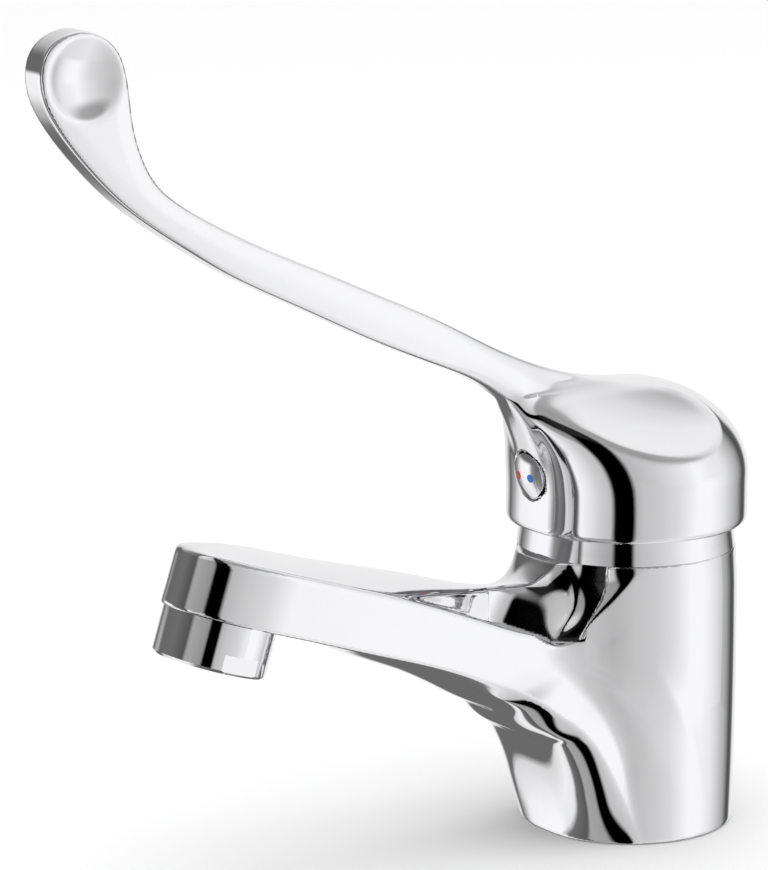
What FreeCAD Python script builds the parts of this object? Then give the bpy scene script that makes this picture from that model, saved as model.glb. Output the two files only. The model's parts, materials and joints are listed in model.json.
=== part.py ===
import FreeCAD, Part
import math
import os

# Basin mixer tap with a long side lever. Millimetres.
# +Z is up, the spout points towards -Y, the origin is the middle of the base on the deck.

os.makedirs("parts", exist_ok=True)
V = FreeCAD.Vector
UP = V(0, 0, 1)

# The cartridge's shell drives every round thing about it
HOUSING_R = 20.0
HOUSING_WALL = 1.6
HOUSING_INNER_R = HOUSING_R - HOUSING_WALL
COLLAR_STEP = 3.9
COLLAR_WALL = 2.9
HOUSING_COLLAR_R = HOUSING_R - COLLAR_STEP
HOUSING_COLLAR_INNER_R = HOUSING_COLLAR_R - COLLAR_WALL
BORE_CLEAR = 0.5
THREAD_STEP = 1.5
CHAMBER_STEP = 1.7
BORE_R = HOUSING_R + BORE_CLEAR
CHAMBER_R = BORE_R + CHAMBER_STEP
NUT_THREAD_R = BORE_R + THREAD_STEP

# Body casting: a slightly leaning column, widest just under its neck
NECK_WALL = 3.85
WAIST_SWELL = 0.25
BASE_DRAW_IN = 0.95
NECK_R = NUT_THREAD_R + NECK_WALL
WAIST_R = NECK_R + WAIST_SWELL
BASE_R = NECK_R - BASE_DRAW_IN
BASE_SHIFT_Y = 1.2
WAIST_Z = 57.0
NECK_Z = 67.4

# Spout: a straight bar that climbs to the tip, where the aerator hangs square to it
SPOUT_TILT = 18.0
TIP_Y = -112.6
TIP_Z = 65.7
TIP_R = 14.6
TIP_TOP_R = 14.1
RAIL_RISE = 13.4
TIP_CROWN = 16.2

# Straight stations of the spout, as (along, crease drop, half width at the crease,
# keel drop, rail rise, half width at the rail, crown rise), all square to the spout
SPOUT_STATIONS = [
    (-15.0, 0.0, 14.5, 0.2, 13.4, 14.0, 16.6),
    (-32.0, 0.0, 14.4, 1.6, 13.4, 13.9, 17.0),
    (-50.0, 0.1, 14.4, 2.8, 13.0, 13.8, 17.6),
    (-62.0, 0.9, 14.6, 4.2, 12.6, 13.8, 18.6),
]

# Fan stations down the front web, as (crease y, crease z, lean from upright, half width
# at the crease, keel drop, rail rise, half width at the rail, crown rise)
WEB_STATIONS = [
    (-45.5, 41.8, 25.0, 15.2, 5.3, 14.2, 13.9, 23.4),
    (-41.3, 39.8, 28.0, 16.3, 5.7, 15.6, 14.1, 28.3),
    (-37.6, 37.7, 31.0, 17.5, 6.0, 17.4, 14.6, 33.0),
    (-33.0, 34.2, 38.0, 19.0, 6.8, 22.0, 16.0, 33.5),
    (-27.6, 29.9, 44.0, 20.0, 7.4, 22.0, 18.6, 32.0),
    (-21.3, 22.3, 54.0, 20.5, 9.0, 22.0, 21.4, 30.0),
    (-14.8, 11.2, 70.0, 20.8, 11.2, 20.0, 22.0, 27.0),
    (-12.1, 0.0, 90.0, 20.6, 11.0, 17.0, 21.5, 24.0),
]

LOFT_DEGREE = 2

# Inside of the casting
BORE_FLOOR_Z = 36.0
CHAMBER_TOP_Z = 46.5
NUT_SEAT_Z = 60.0
INLET_X = 7.5
INLET_Y = 4.0
INLET_THREAD_R = 4.5
INLET_THREAD_LENGTH = 14.0
INLET_BORE_R = 3.2
STUD_Y = -9.6
STUD_HOLE_R = 3.4
STUD_HOLE_LENGTH = 16.0
PEG_Y = -14.5
PEG_X = 8.0
PEG_R = 1.5
PEG_LENGTH = 3.0
PEG_HOLE_DEPTH = 3.5
PEG_CLEAR = 0.1
WATERWAY_R = 4.6
WATERWAY_RISE = 9.0
WATERWAY_START = -94.5
FOOT_LIP = 1.5
SEAL_WIDTH = 2.0
FOOT_RIB = 1.2
UNDER_POCKET_WIDTH = 4.4
SEAL_GROOVE_OUT_R = BASE_R - FOOT_LIP
SEAL_GROOVE_IN_R = SEAL_GROOVE_OUT_R - SEAL_WIDTH
SEAL_GROOVE_DEPTH = 1.9
UNDER_POCKET_OUTER_R = SEAL_GROOVE_IN_R - FOOT_RIB
UNDER_POCKET_INNER_R = UNDER_POCKET_OUTER_R - UNDER_POCKET_WIDTH
UNDER_POCKET_DEPTH = 7.0

# Cover ring, ring nut and the ring that grips between them
RING_TAPER = 0.85
RING_TOP_R = NECK_R - RING_TAPER
RING_TOP_Z = 74.0
NUT_COLLAR_CLEAR = 0.4
NUT_FLANGE_STEP = 0.5
NUT_INNER_R = HOUSING_COLLAR_R + NUT_COLLAR_CLEAR
NUT_TOP_R = NUT_THREAD_R - NUT_FLANGE_STEP
NUT_TOP_Z = 72.4
HOUSING_SHOULDER_Z = 61.6
NUT_BASE_Z = HOUSING_SHOULDER_Z
NUT_CLEAR = 0.1
NUT_NOTCHES = 6
NUT_NOTCH_WIDTH = 4.0
NUT_NOTCH_DEPTH = 3.0
GRIP_RING_Z = 69.8
GRIP_RING_SECTION_R = 0.9
GRIP_RING_R = NUT_TOP_R
GRIP_GROOVE_R = GRIP_RING_R - GRIP_RING_SECTION_R
RING_INNER_R = GRIP_RING_R + GRIP_RING_SECTION_R
GRIP_GROOVE_HEIGHT = 2.2

# Aerator, built along its own axis and hung from the tip
AERATOR_R = 13.0
AERATOR_DROP = 11.0
AERATOR_LIP = 0.7
AERATOR_STEP = 1.4
AERATOR_WALL = 1.4
AERATOR_LEDGE = 0.8
AERATOR_FLAT_DEEP = 0.8
AERATOR_NECK_R = AERATOR_R - AERATOR_STEP
AERATOR_NECK_RISE = 7.0
AERATOR_BORE_R = AERATOR_NECK_R - AERATOR_WALL
AERATOR_OUTLET_R = AERATOR_BORE_R - AERATOR_LEDGE
AERATOR_SHOULDER = 1.4
AERATOR_FLAT_X = AERATOR_R - AERATOR_FLAT_DEEP
AERATOR_FLAT_LOW = -10.5
AERATOR_FLAT_TOP = -6.7
AERATOR_FLAT_HALF = 5.6
SOCKET_THREAD_CLEAR = 0.1
SOCKET_STEP = 2.5
SOCKET_R = AERATOR_NECK_R + SOCKET_THREAD_CLEAR
OUTLET_CHAMBER_R = SOCKET_R - SOCKET_STEP
OUTLET_CHAMBER_TOP = 12.4
WASHER_WIDTH = 3.0
WASHER_IN_R = AERATOR_NECK_R - WASHER_WIDTH
WASHER_THICK = 1.6
CORE_CLEAR = 0.2
CORE_R = AERATOR_BORE_R - CORE_CLEAR
CORE_TOP = 5.0
CORE_WALL = 1.2
DIFFUSER_THICK = 2.0
GRID_PITCH = 2.6
GRID_WEB = 0.8

# Cartridge
CART_BASE_R = HOUSING_R
CART_BASE_TOP_Z = 40.0
SPIGOT_CLEAR = 0.1
CART_SPIGOT_R = HOUSING_INNER_R - SPIGOT_CLEAR
CART_SPIGOT_TOP_Z = 42.0
CART_WINDOW_HALF = 6.5
CART_WINDOW_Y = -7.0
CART_PORT_R = 3.2
SEAL_RING_R = 4.3
SEAL_RING_SECTION_R = 0.9
SEAL_RECESS_DEPTH = 1.8
HOUSING_LEDGE_Z = 58.0
HOUSING_TOP_Z = 74.0
HOUSING_SEAL_Z = 54.0
HOUSING_SEAL_SECTION_R = 0.6
LIMIT_SEAT_Z = 71.0
LIMIT_RING_THICK = 1.2
LIMIT_RING_INSET = 0.1
LIMIT_RING_R = HOUSING_COLLAR_R - LIMIT_RING_INSET
LIMIT_SEAT_R = LIMIT_RING_R - LIMIT_RING_THICK
LIMIT_TEETH = 24
TOOTH_DEEP = 0.5
TOOTH_HALF = 0.6
FIXED_DISC_CLEAR = 0.8
FIXED_DISC_R = HOUSING_INNER_R - FIXED_DISC_CLEAR
FIXED_DISC_TOP_Z = 45.5
OUTLET_PORT_R = 4.5
DISC_TRAVEL = 4.0
MOVING_DISC_R = FIXED_DISC_R - DISC_TRAVEL
MOVING_DISC_TOP_Z = 49.0
MIX_POCKET_R = 6.0
MIX_POCKET_DEEP = 1.6
MIX_POCKET_BACK = 5.0
CARRIER_RIM = 0.2
CARRIER_FLAT_DEEP = 1.4
CARRIER_R = MOVING_DISC_R + CARRIER_RIM
CARRIER_TOP_Z = 53.4
CARRIER_FLAT_X = CARRIER_R - CARRIER_FLAT_DEEP
CARRIAGE_SHIFT_Y = 3.4
TURRET_CLEAR = 0.4
FLANGE_CLEAR = 0.9
LEDGE_CLEAR = 0.3
TURRET_R = HOUSING_COLLAR_INNER_R - TURRET_CLEAR
TURRET_BASE_Z = 54.0
TURRET_FLANGE_R = HOUSING_INNER_R - FLANGE_CLEAR
TURRET_FLANGE_TOP_Z = HOUSING_LEDGE_Z - LEDGE_CLEAR
TURRET_TOP_Z = 73.0
SLOT_CLEAR = 0.35
TURRET_SLOT_Y = 10.2
LUG_CLEAR = 0.5
TURRET_LUG_X = CARRIER_FLAT_X + LUG_CLEAR
TURRET_LUG_THICK = 2.2
TURRET_LUG_Y = 5.0
TURRET_LUG_BASE_Z = 49.6

# Lever pivot and stem
PIVOT_Z = 66.0
PIN_R = 1.6
PIN_RUNNING_FIT = 0.05
PIN_SHORT = 0.8
PIN_HALF = TURRET_R - PIN_SHORT
STEM_BALL_Z = 50.0
STEM_BALL_R = 3.0
STEM_BALL_CLEAR = 0.35
STEM_ROD_R = 2.4
STEM_BLOCK_X = 3.3
TURRET_SLOT_X = STEM_BLOCK_X + SLOT_CLEAR
STEM_BLOCK_Y = 4.2
STEM_BLOCK_BASE_Z = 60.0
STEM_SQUARE_BASE_Z = 77.0
STEM_SQUARE_HALF = 4.0
STEM_TOP_Z = 94.0

# Handle cap
CAP_RING_GAP = 1.7
CAP_WALL = 1.8
CAP_RIM_DRAW = 1.1
CAP_INNER_R = RING_TOP_R + CAP_RING_GAP
CAP_R = CAP_INNER_R + CAP_WALL
CAP_RIM_Z = 73.0
CAP_RIM_R = CAP_R - CAP_RIM_DRAW
CAP_RIM_RISE = 1.5
CAP_SPRING_Z = 84.5
CAP_CROWN_RISE = 22.2
CAP_INNER_SPRING_Z = 82.0
CAP_INNER_RISE = 15.6
BOSS_R = 8.0
BOSS_BASE_Z = 82.0
SOCKET_CLEAR = 0.05
SCREW_R = 2.5
SCREW_LENGTH = 8.0
SCREW_HEX = 2.5
ARM_WALL = 1.9
ARM_R = SCREW_R + ARM_WALL
ARM_FRONT_DEPTH = 8.0

# Scoops on both shoulders of the cap
SCOOP_X = 13.5
SCOOP_Y = -1.0
SCOOP_Z = 99.0
SCOOP_NORMAL = (0.51, -0.04, 0.86)
SCOOP_BALL_R = 60.0
SCOOP_DEPTH = 1.3

# Index button in the front of the cap
BUTTON_Z = 86.75
BUTTON_TILT = 7.0
BUTTON_R = 5.4
BUTTON_GAP = 0.3
BUTTON_SEAT_WALL = 1.6
ARM_FRONT_R = BUTTON_R + BUTTON_GAP + BUTTON_SEAT_WALL
BUTTON_PROUD = 1.4
BUTTON_DOME = 1.2
BUTTON_DEPTH = 3.2
DOT_R = 1.0
DOT_X = 2.2
DOT_DEPTH = 0.8

# Lever blade: its outline stands in the plane x = 0
BLADE_HALF = 4.0
BLADE_EDGE = 1.8
BLADE_LOWER = [
    (-30.0, 101.0), (-38.5, 107.3), (-45.3, 111.5), (-56.4, 116.6), (-75.4, 125.0),
    (-93.9, 134.1), (-111.9, 143.2), (-123.2, 150.2), (-138.3, 161.0), (-146.4, 169.0),
    (-150.9, 174.3), (-154.5, 179.4),
]
BLADE_HEAD = [
    (-154.5, 179.4), (-156.8, 184.0), (-157.7, 188.6), (-157.2, 192.6), (-155.4, 195.6),
    (-152.3, 197.7), (-148.0, 198.7), (-143.8, 197.8), (-140.5, 195.8), (-138.3, 193.0),
    (-136.9, 189.0), (-136.2, 185.0), (-135.3, 178.0),
]
BLADE_UPPER = [
    (-135.3, 178.0), (-133.2, 170.8), (-129.8, 164.8), (-125.2, 160.6), (-118.3, 156.2),
    (-110.7, 152.1), (-99.1, 146.5), (-88.7, 141.9), (-72.7, 134.6), (-56.4, 127.1),
    (-42.8, 120.2), (-30.8, 114.6), (-22.9, 111.6), (-12.0, 108.6), (-4.0, 106.6),
]
DISH_Y = -147.0
DISH_Z = 188.6
DISH_R = 8.8
DISH_DEPTH = 1.7

# Lever root, as (y, half width at the top, top z, half width at the foot, foot z)
ROOT_STATIONS = [
    (-52.0, 3.3, 124.2, 3.6, 115.9),
    (-44.0, 3.5, 120.2, 4.4, 111.6),
    (-37.0, 3.7, 116.9, 5.8, 106.2),
    (-31.0, 3.8, 114.2, 8.4, 98.0),
    (-26.0, 3.9, 112.2, 10.6, 92.0),
    (-18.0, 4.0, 109.6, 14.0, 90.0),
    (-8.0, 3.6, 107.2, 19.0, 90.0),
]


def arc_point(degrees, radius):
    """A point on a flat circle about the origin."""
    turn = math.radians(degrees)
    return V(radius * math.cos(turn), radius * math.sin(turn), 0)


def edge_line(a, b):
    return Part.LineSegment(a, b).toShape()


def spline(points, start=None, end=None):
    """A smooth curve through the points, with end directions when they are given."""
    curve = Part.BSplineCurve()
    if start is None:
        curve.interpolate(points)
    else:
        curve.interpolate(Points=points, InitialTangent=start, FinalTangent=end)
    return curve.toShape()


def revolve(profile, axis_point=V(0, 0, 0), axis=UP, angle=360.0):
    """Turn a closed outline, given as (r, z) pairs, about the upright axis."""
    points = [V(r, 0, z) for r, z in profile]
    face = Part.Face(Part.makePolygon(points + [points[0]]))
    return face.revolve(axis_point, axis, angle)


def tube(outer, inner, low, high, centre=(0, 0)):
    """A plain ring with a flat top and bottom."""
    at = V(centre[0], centre[1], low)
    ring = Part.makeCylinder(outer, high - low, at)
    return ring.cut(Part.makeCylinder(inner, high - low, at))


def rod(radius, low, high, x=0.0, y=0.0):
    return Part.makeCylinder(radius, high - low, V(x, y, low))


def block(x0, x1, y0, y1, z0, z1):
    return Part.makeBox(x1 - x0, y1 - y0, z1 - z0, V(x0, y0, z0))


def ring_seal(radius, section, z, x=0.0, y=0.0):
    return Part.makeTorus(radius, section, V(x, y, z), UP)


def save(name, shape):
    shape.exportStep("parts/" + name + ".step")
    box = shape.BoundBox
    print(name, len(shape.Solids), shape.isValid(), round(shape.Volume), "mm3",
          [round(n, 1) for n in (box.XMin, box.XMax, box.YMin, box.YMax, box.ZMin, box.ZMax)])


# The spout's own frame: along runs out to the tip, rise is square to it

def spout_point(along, rise, x=0.0):
    lean = math.radians(SPOUT_TILT)
    y = TIP_Y - along * math.cos(lean) + rise * math.sin(lean)
    z = TIP_Z + along * math.sin(lean) + rise * math.cos(lean)
    return V(x, y, z)


def onto_aerator(shape):
    """Carry a shape drawn upright at the origin to the aerator's axis at the tip."""
    shape.Placement = FreeCAD.Placement(
        spout_point(0, 0), FreeCAD.Rotation(V(1, 0, 0), -SPOUT_TILT))
    return shape


def section_points(station):
    """Crease, keel, rail and crown of one station, on a plane that holds the X axis."""
    y, z, lean, crease_half, keel, rail, rail_half, crown = station
    turn = math.radians(lean)

    def at(x, rise):
        return V(x, y + rise * math.sin(turn), z + rise * math.cos(turn))
    return at, crease_half, keel, rail, rail_half, crown


def half_arch(at, half, rail, crown, side):
    """A quarter of an ellipse from the rail up to the crown."""
    points = []
    for degrees in (0, 22.5, 45, 67.5, 90):
        turn = math.radians(degrees)
        points.append(at(side * half * math.cos(turn), rail + (crown - rail) * math.sin(turn)))
    rise = points[0].sub(at(side * half, rail - 1.0))
    inward = V(-side, 0, 0)
    return spline(points, rise.multiply(crown - rail), inward.multiply(half))


def section_wire(station):
    """One closed outline: keel curve, two flanks and the arched top in two halves."""
    at, crease_half, keel, rail, rail_half, crown = section_points(station)
    bottom = Part.BezierCurve()
    bottom.setPoles([at(-crease_half, 0), at(0, -2 * keel), at(crease_half, 0)])
    near = edge_line(at(crease_half, 0), at(rail_half, rail))
    near_top = half_arch(at, rail_half, rail, crown, 1)
    far_top = half_arch(at, rail_half, rail, crown, -1)
    far = edge_line(at(-rail_half, rail), at(-crease_half, 0))
    return Part.Wire([bottom.toShape(), near, near_top, far_top, far])


def all_stations():
    """The tip, the straight stations and the fan down the web, in one list."""
    stations = [(TIP_Y, TIP_Z, SPOUT_TILT, TIP_R, 0.0, RAIL_RISE, TIP_TOP_R, TIP_CROWN)]
    for along, drop, crease, keel, rail, rail_half, crown in SPOUT_STATIONS:
        foot = spout_point(along, -drop)
        stations.append((foot.y, foot.z, SPOUT_TILT, crease, keel, rail, rail_half, crown))
    return stations + WEB_STATIONS


def spout_tip():
    """The rounded end: the tip's own section turned half round the aerator's axis."""
    def at(x, rise):
        return spout_point(0, rise, x)
    outline = Part.Wire([
        edge_line(at(0, 0), at(TIP_R, 0)),
        edge_line(at(TIP_R, 0), at(TIP_TOP_R, RAIL_RISE)),
        half_arch(at, TIP_TOP_R, RAIL_RISE, TIP_CROWN, 1),
        edge_line(at(0, TIP_CROWN), at(0, 0)),
    ])
    axis = at(0, 1).sub(at(0, 0))
    return Part.Face(outline).revolve(at(0, 0), axis, -180)


def column():
    """The leaning column, its back upright and its front drawn in at the base."""
    rings = []
    for radius, shift, z in ((BASE_R, BASE_SHIFT_Y, 0), (WAIST_R, 0, WAIST_Z), (NECK_R, 0, NECK_Z)):
        rings.append(Part.Wire(Part.makeCircle(radius, V(0, shift, z))))
    return Part.makeLoft(rings, True, True)


def body_outside():
    """Column, spout with its front web, and rounded tip, joined into one casting."""
    outlines = [section_wire(station) for station in all_stations()]
    spout = Part.makeLoft(outlines, True, False, False, LOFT_DEGREE)
    return column().fuse([spout, spout_tip()])


def body_hollows():
    """Every bore, chamber, thread and groove that is taken out of the casting."""
    cuts = [rod(BORE_R, BORE_FLOOR_Z, NECK_Z + 1),
            rod(CHAMBER_R, BORE_FLOOR_Z + 1, CHAMBER_TOP_Z),
            rod(NUT_THREAD_R, NUT_SEAT_Z, NECK_Z + 1),
            rod(STUD_HOLE_R, -1, STUD_HOLE_LENGTH, 0, STUD_Y)]
    for side in (-1, 1):
        x = side * INLET_X
        cuts.append(rod(INLET_THREAD_R, -1, INLET_THREAD_LENGTH, x, INLET_Y))
        cuts.append(rod(INLET_BORE_R, -1, BORE_FLOOR_Z + 1, x, INLET_Y))
        peg = rod(PEG_R + PEG_CLEAR, BORE_FLOOR_Z - PEG_HOLE_DEPTH, BORE_FLOOR_Z + 1, side * PEG_X, PEG_Y)
        cuts.append(peg)
    start = spout_point(WATERWAY_START, WATERWAY_RISE)
    way = spout_point(0, WATERWAY_RISE).sub(start)
    cuts.append(Part.makeCylinder(WATERWAY_R, way.Length, start, way))
    washer_top = AERATOR_NECK_RISE + WASHER_THICK
    cuts.append(onto_aerator(rod(SOCKET_R, -1, washer_top)))
    cuts.append(onto_aerator(rod(OUTLET_CHAMBER_R, washer_top - 1, OUTLET_CHAMBER_TOP)))
    middle = (0, BASE_SHIFT_Y)
    cuts.append(tube(UNDER_POCKET_OUTER_R, UNDER_POCKET_INNER_R, -1, UNDER_POCKET_DEPTH, middle))
    cuts.append(tube(SEAL_GROOVE_OUT_R, SEAL_GROOVE_IN_R, -1, SEAL_GROOVE_DEPTH, middle))
    return cuts


def make_body():
    shell = body_outside()
    return shell.cut(body_hollows())


def make_cover_ring():
    return revolve([(RING_INNER_R, NECK_Z), (NECK_R, NECK_Z),
                    (RING_TOP_R, RING_TOP_Z), (RING_INNER_R, RING_TOP_Z)])


def make_ring_nut():
    thread = NUT_THREAD_R - NUT_CLEAR
    groove_low = GRIP_RING_Z - GRIP_GROOVE_HEIGHT / 2
    groove_high = GRIP_RING_Z + GRIP_GROOVE_HEIGHT / 2
    nut = revolve([(NUT_INNER_R, NUT_BASE_Z), (thread, NUT_BASE_Z), (thread, NECK_Z),
                   (NUT_TOP_R, NECK_Z), (NUT_TOP_R, groove_low), (GRIP_GROOVE_R, groove_low),
                   (GRIP_GROOVE_R, groove_high), (NUT_TOP_R, groove_high),
                   (NUT_TOP_R, NUT_TOP_Z), (NUT_INNER_R, NUT_TOP_Z)])
    for turn in range(NUT_NOTCHES):
        notch = block(NUT_INNER_R - 1, NUT_INNER_R + 2.4, -NUT_NOTCH_WIDTH / 2,
                      NUT_NOTCH_WIDTH / 2, NUT_TOP_Z - NUT_NOTCH_DEPTH, NUT_TOP_Z + 1)
        notch.rotate(V(0, 0, 0), UP, turn * 360.0 / NUT_NOTCHES)
        nut = nut.cut(notch)
    return nut


def make_aerator_housing():
    """Knurl-free ring with two spanner flats, a screwed neck and an inner shoulder."""
    drop = -AERATOR_DROP
    housing = revolve([
        (AERATOR_OUTLET_R, drop), (AERATOR_R - AERATOR_LIP, drop),
        (AERATOR_R, drop + AERATOR_LIP), (AERATOR_R, 0), (AERATOR_NECK_R, 0),
        (AERATOR_NECK_R, AERATOR_NECK_RISE), (AERATOR_BORE_R, AERATOR_NECK_RISE),
        (AERATOR_BORE_R, drop + AERATOR_SHOULDER), (AERATOR_OUTLET_R, drop + AERATOR_SHOULDER)])
    for side in (-1, 1):
        flat = block(AERATOR_FLAT_X, AERATOR_R + 1, -AERATOR_FLAT_HALF, AERATOR_FLAT_HALF,
                     AERATOR_FLAT_LOW, AERATOR_FLAT_TOP)
        if side < 0:
            flat = flat.mirror(V(0, 0, 0), V(1, 0, 0))
        housing = housing.cut(flat)
    return onto_aerator(housing)


def square_holes(radius, low, high):
    """A field of square holes that stays inside the radius."""
    holes = []
    count = int(radius / GRID_PITCH)
    half = (GRID_PITCH - GRID_WEB) / 2
    for i in range(-count, count + 1):
        for j in range(-count, count + 1):
            x = i * GRID_PITCH
            y = j * GRID_PITCH
            if math.hypot(abs(x) + half, abs(y) + half) < radius:
                holes.append(block(x - half, x + half, y - half, y + half, low, high))
    return holes


def make_aerator_core():
    """Jet former: a cup whose floor is a square grid."""
    floor = -AERATOR_DROP + AERATOR_SHOULDER
    core = rod(CORE_R, floor, CORE_TOP)
    core = core.cut(rod(CORE_R - CORE_WALL, floor + 2.0, CORE_TOP))
    core = core.cut(square_holes(CORE_R - CORE_WALL, floor - 1, floor + 3))
    return onto_aerator(core)


def make_aerator_diffuser():
    """Top plate with rings of small holes, resting on the jet former."""
    top = CORE_TOP + DIFFUSER_THICK
    plate = rod(CORE_R, CORE_TOP, top)
    holes = []
    for radius, count in ((3.0, 6), (5.6, 12), (8.0, 18)):
        for step in range(count):
            spot = arc_point(step * 360.0 / count, radius)
            holes.append(rod(0.6, CORE_TOP - 1, top + 1, spot.x, spot.y))
    return onto_aerator(plate.cut(holes))


def make_aerator_washer():
    low = AERATOR_NECK_RISE
    return onto_aerator(tube(AERATOR_NECK_R, WASHER_IN_R, low, low + WASHER_THICK))


def make_base_seal():
    return tube(SEAL_GROOVE_OUT_R, SEAL_GROOVE_IN_R, 0, SEAL_GROOVE_DEPTH, (0, BASE_SHIFT_Y))


def make_cartridge_base():
    """Foot of the cartridge: two inlets, a front window for the mixed water, two pegs."""
    base = rod(CART_BASE_R, BORE_FLOOR_Z, CART_BASE_TOP_Z)
    base = base.fuse(rod(CART_SPIGOT_R, CART_BASE_TOP_Z, CART_SPIGOT_TOP_Z))
    window = block(-CART_WINDOW_HALF, CART_WINDOW_HALF, -CART_BASE_R - 1, CART_WINDOW_Y,
                   BORE_FLOOR_Z + 1.5, CART_SPIGOT_TOP_Z - 1.0)
    well = rod(OUTLET_PORT_R, BORE_FLOOR_Z + 1.5, CART_SPIGOT_TOP_Z + 1, 0, CART_WINDOW_Y)
    base = base.cut([window, well])
    for side in (-1, 1):
        x = side * INLET_X
        base = base.cut(rod(CART_PORT_R, BORE_FLOOR_Z - 1, CART_SPIGOT_TOP_Z + 1, x, INLET_Y))
        base = base.cut(tube(SEAL_RING_R + 1.2, SEAL_RING_R - 1.1, BORE_FLOOR_Z - 1,
                             BORE_FLOOR_Z + SEAL_RECESS_DEPTH, (x, INLET_Y)))
        base = base.fuse(rod(PEG_R, BORE_FLOOR_Z - PEG_LENGTH, BORE_FLOOR_Z, side * PEG_X, PEG_Y))
    return base


def make_inlet_seals():
    z = BORE_FLOOR_Z + SEAL_RING_SECTION_R
    rings = [ring_seal(SEAL_RING_R, SEAL_RING_SECTION_R, z, side * INLET_X, INLET_Y)
             for side in (-1, 1)]
    return Part.makeCompound(rings)


def make_cartridge_housing():
    """Shell of the cartridge, with a groove for its seal and a collar for the turret."""
    seal_low = HOUSING_SEAL_Z - HOUSING_SEAL_SECTION_R
    seal_high = HOUSING_SEAL_Z + HOUSING_SEAL_SECTION_R
    groove = BORE_R - 2 * HOUSING_SEAL_SECTION_R
    return revolve([
        (HOUSING_INNER_R, CART_BASE_TOP_Z), (HOUSING_R, CART_BASE_TOP_Z),
        (HOUSING_R, seal_low), (groove, seal_low), (groove, seal_high),
        (HOUSING_R, seal_high), (HOUSING_R, HOUSING_SHOULDER_Z),
        (HOUSING_COLLAR_R, HOUSING_SHOULDER_Z), (HOUSING_COLLAR_R, LIMIT_SEAT_Z),
        (LIMIT_SEAT_R, LIMIT_SEAT_Z), (LIMIT_SEAT_R, HOUSING_TOP_Z),
        (HOUSING_COLLAR_INNER_R, HOUSING_TOP_Z), (HOUSING_COLLAR_INNER_R, HOUSING_LEDGE_Z),
        (HOUSING_INNER_R, HOUSING_LEDGE_Z)])


def make_housing_seal():
    radius = BORE_R - HOUSING_SEAL_SECTION_R
    return ring_seal(radius, HOUSING_SEAL_SECTION_R, HOUSING_SEAL_Z)


def make_limit_ring():
    """Hot limit ring: a toothed collar with a stop tab."""
    ring = tube(LIMIT_RING_R, LIMIT_SEAT_R, LIMIT_SEAT_Z, HOUSING_TOP_Z)
    for tooth in range(LIMIT_TEETH):
        notch = block(LIMIT_RING_R - TOOTH_DEEP, LIMIT_RING_R + 1, -TOOTH_HALF, TOOTH_HALF,
                      LIMIT_SEAT_Z + 1.0,
                      HOUSING_TOP_Z + 1)
        notch.rotate(V(0, 0, 0), UP, tooth * 360.0 / LIMIT_TEETH)
        ring = ring.cut(notch)
    return ring


def make_fixed_disc():
    """Lower ceramic disc: two inlet ports and one outlet port."""
    disc = rod(FIXED_DISC_R, CART_SPIGOT_TOP_Z, FIXED_DISC_TOP_Z)
    for side in (-1, 1):
        disc = disc.cut(rod(CART_PORT_R, CART_SPIGOT_TOP_Z - 1, FIXED_DISC_TOP_Z + 1,
                            side * INLET_X, INLET_Y))
    return disc.cut(rod(OUTLET_PORT_R, CART_SPIGOT_TOP_Z - 1, FIXED_DISC_TOP_Z + 1, 0, CART_WINDOW_Y))


def make_moving_disc():
    """Upper ceramic disc with the mixing pocket in its underside."""
    disc = rod(MOVING_DISC_R, FIXED_DISC_TOP_Z, MOVING_DISC_TOP_Z, 0, CARRIAGE_SHIFT_Y)
    pocket = rod(MIX_POCKET_R, FIXED_DISC_TOP_Z - 1, FIXED_DISC_TOP_Z + MIX_POCKET_DEEP,
                 0, CARRIAGE_SHIFT_Y - MIX_POCKET_BACK)
    return disc.cut(pocket)


def make_disc_carrier():
    """Carries the moving disc; the stem's ball drives it through an open slot."""
    carrier = rod(CARRIER_R, MOVING_DISC_TOP_Z, CARRIER_TOP_Z, 0, CARRIAGE_SHIFT_Y)
    keep = block(-CARRIER_FLAT_X, CARRIER_FLAT_X, -2 * CARRIER_R, 2 * CARRIER_R,
                 MOVING_DISC_TOP_Z, CARRIER_TOP_Z)
    carrier = carrier.common(keep)
    gap = STEM_BALL_R + STEM_BALL_CLEAR
    slot_floor = MOVING_DISC_TOP_Z
    slot = block(-gap, gap, -gap, gap, slot_floor - 1, CARRIER_TOP_Z + 1)
    return carrier.cut(slot)


def make_turret():
    """Turns in the collar, carries the pin, and guides the carrier with two lugs."""
    turret = rod(TURRET_FLANGE_R, TURRET_BASE_Z, TURRET_FLANGE_TOP_Z)
    turret = turret.fuse(rod(TURRET_R, TURRET_FLANGE_TOP_Z, TURRET_TOP_Z))
    for side in (-1, 1):
        x = sorted((side * TURRET_LUG_X, side * (TURRET_LUG_X + TURRET_LUG_THICK)))
        turret = turret.fuse(block(x[0], x[1], -TURRET_LUG_Y, TURRET_LUG_Y,
                                   TURRET_LUG_BASE_Z, TURRET_BASE_Z))
    turret = turret.cut(block(-TURRET_SLOT_X, TURRET_SLOT_X, -TURRET_SLOT_Y, TURRET_SLOT_Y,
                              TURRET_BASE_Z - 1, TURRET_TOP_Z + 1))
    bore = Part.makeCylinder(PIN_R, 2 * PIN_HALF, V(-PIN_HALF, 0, PIVOT_Z), V(1, 0, 0))
    return turret.cut(bore)


def make_pivot_pin():
    return Part.makeCylinder(PIN_R, 2 * PIN_HALF, V(-PIN_HALF, 0, PIVOT_Z), V(1, 0, 0))


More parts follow.
